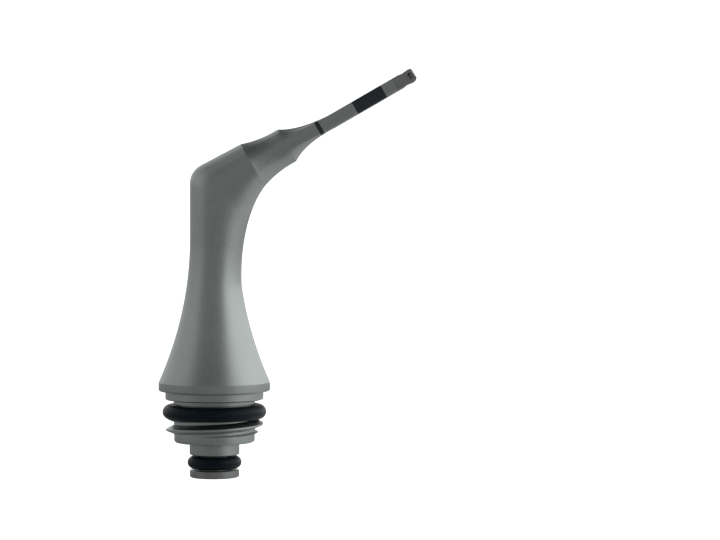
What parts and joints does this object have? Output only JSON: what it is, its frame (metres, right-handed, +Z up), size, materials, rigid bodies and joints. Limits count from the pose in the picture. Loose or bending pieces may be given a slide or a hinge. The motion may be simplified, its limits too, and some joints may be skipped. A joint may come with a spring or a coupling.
{
  "type": "ultrasonic scaler spray tip",
  "caption": "Angled screw-in tip of a dental scaler: sealed threaded coupling, bent hollow bell body, flat twin-channel blade with depth marks and a windowed outlet head.",
  "frame": {"origin": "on the coupling axis, in the plane of the flange's underside, where the tip meets the handpiece", "axes": "+Z up the coupling axis into the bell, +X the way the arm leans, +Y completes a right-handed frame"},
  "size_m": [0.023, 0.01, 0.0364],
  "materials": {
    "blasted_steel": "fine bead-blasted satin",
    "turned_steel": "fine turned",
    "tube_steel": "drawn, smooth",
    "black_rubber": "matte moulded",
    "mark_enamel": "matte filled",
    "bush_polymer": "machined"
  },
  "bodies": {
    "root": {"coupling_core": "blasted_steel", "powder_nipple": "turned_steel", "large_o_ring": "black_rubber", "small_o_ring": "black_rubber", "plug_o_ring": "black_rubber", "powder_ferrule": "turned_steel", "water_ferrule": "turned_steel", "elbow_body": "blasted_steel", "tube_guide": "bush_polymer", "powder_tube": "tube_steel", "water_tube": "tube_steel", "nose_seal": "black_rubber", "blade_nozzle": "blasted_steel", "outlet_head": "turned_steel", "wide_depth_mark": "mark_enamel", "thin_depth_mark": "mark_enamel"}
  },
  "joints": []
}
